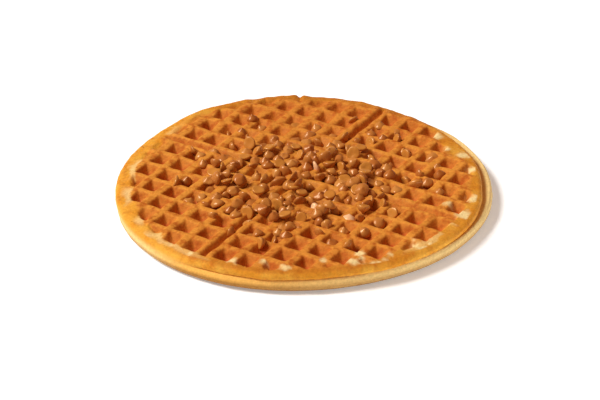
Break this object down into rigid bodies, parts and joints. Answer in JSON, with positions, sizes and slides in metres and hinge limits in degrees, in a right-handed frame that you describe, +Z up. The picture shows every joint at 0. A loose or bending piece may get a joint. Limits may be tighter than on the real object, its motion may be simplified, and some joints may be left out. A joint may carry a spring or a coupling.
{
  "type": "round waffle",
  "caption": "Round waffle with square pits on both faces, two crossed grooves, a plain raised border and small teardrop baking chips scattered over the middle.",
  "frame": {"origin": "middle of the underside, at the bottom of the bounding box", "axes": "+Z up through the thickness, +X and +Y along the two crossed grooves"},
  "size_m": [0.1811, 0.179, 0.0185],
  "materials": {
    "waffle": "baked batter, golden brown, slightly glossy on the ridges",
    "chips": "peanut butter chips, smooth and softly glossy"
  },
  "bodies": {
    "root": {"waffle": "waffle"}
  },
  "joints": []
}
